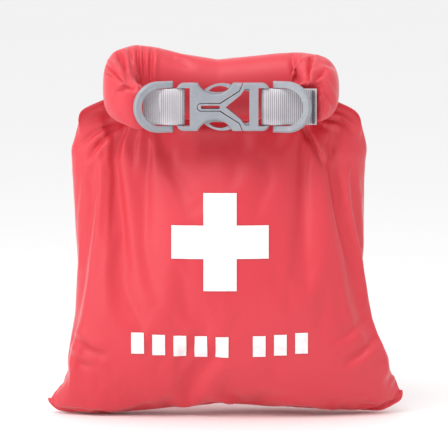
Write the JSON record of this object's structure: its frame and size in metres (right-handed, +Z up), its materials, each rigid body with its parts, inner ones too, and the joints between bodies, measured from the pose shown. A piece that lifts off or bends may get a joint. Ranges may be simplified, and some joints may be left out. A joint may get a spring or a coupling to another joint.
{
  "type": "roll-top first aid pouch",
  "caption": "Small filled roll-top dry bag for first aid supplies, its collar rolled and folded forward into a side-release buckle with webbing and D-rings.",
  "frame": {"origin": "centre of the flat base, on the surface that the pouch stands on", "axes": "+Z up through the roll, -Y the side with the buckle, +X towards the buckle's plug"},
  "size_m": [0.2003, 0.0814, 0.2083],
  "materials": {
    "coated_fabric": "fine plain-weave coated nylon, slight sheen",
    "seam_tape": "smooth welded tape",
    "stiffener": "smooth",
    "webbing": "ribbed woven webbing",
    "moulded_grey": "fine moulded satin",
    "gauze": "open crepe weave",
    "paper_wrap": "matt",
    "card": "matt coated",
    "foil_wrap": "crinkled foil",
    "film_wrap": "smooth film"
  },
  "bodies": {
    "bag": {"front_panel": "coated_fabric", "back_panel": "coated_fabric", "base_panel": "coated_fabric", "seam_tape_left": "seam_tape", "seam_tape_right": "seam_tape", "bandage_roll_wide": "gauze", "bandage_roll_narrow": "gauze", "gauze_pack": "paper_wrap", "triangular_bandage_pack": "paper_wrap", "plaster_box": "card", "rescue_blanket_pack": "foil_wrap", "glove_pack": "film_wrap", "tape_roll": "gauze"},
    "closure": {"collar_neck": "coated_fabric", "collar_roll_middle": "coated_fabric", "collar_roll_left_end": "coated_fabric", "lip_stiffener_front": "stiffener", "lip_stiffener_back": "stiffener", "left_strap": "webbing", "buckle_socket": "moulded_grey"},
    "right_end": {"collar_roll_right_end": "coated_fabric", "right_strap": "webbing", "buckle_plug_frame": "moulded_grey"},
    "upper_latch": {"buckle_upper_latch": "moulded_grey"},
    "lower_latch": {"buckle_lower_latch": "moulded_grey"},
    "left_ring": {"left_d_ring": "moulded_grey"},
    "right_ring": {"right_d_ring": "moulded_grey"}
  },
  "joints": [
    {"name": "closure_fold", "type": "hinge", "parent": "bag", "child": "closure", "pos_m": [0, 0, 0.1776], "axis": [-1, 0, 0], "range_deg": [0, 90]},
    {"name": "buckle_release", "type": "slide", "parent": "closure", "child": "right_end", "axis": [1, 0, 0], "range_m": [0, 0.026], "deforming": ["buckle_upper_latch", "buckle_lower_latch"]},
    {"name": "upper_latch_press", "type": "hinge", "parent": "right_end", "child": "upper_latch", "pos_m": [0.017, -0.039, 0.1869], "axis": [0, -1, 0], "range_deg": [0, 8], "stiffness_Nm_per_rad": 0.05},
    {"name": "lower_latch_press", "type": "hinge", "parent": "right_end", "child": "lower_latch", "pos_m": [0.017, -0.039, 0.1671], "axis": [0, 1, 0], "range_deg": [0, 8], "stiffness_Nm_per_rad": 0.05},
    {"name": "left_ring_swing", "type": "hinge", "parent": "closure", "child": "left_ring", "pos_m": [-0.0265, -0.039, 0.177], "axis": [0, 0, 1], "range_deg": [0, 80]},
    {"name": "right_ring_swing", "type": "hinge", "parent": "right_end", "child": "right_ring", "pos_m": [0.032, -0.039, 0.177], "axis": [0, 0, -1], "range_deg": [0, 76]}
  ]
}
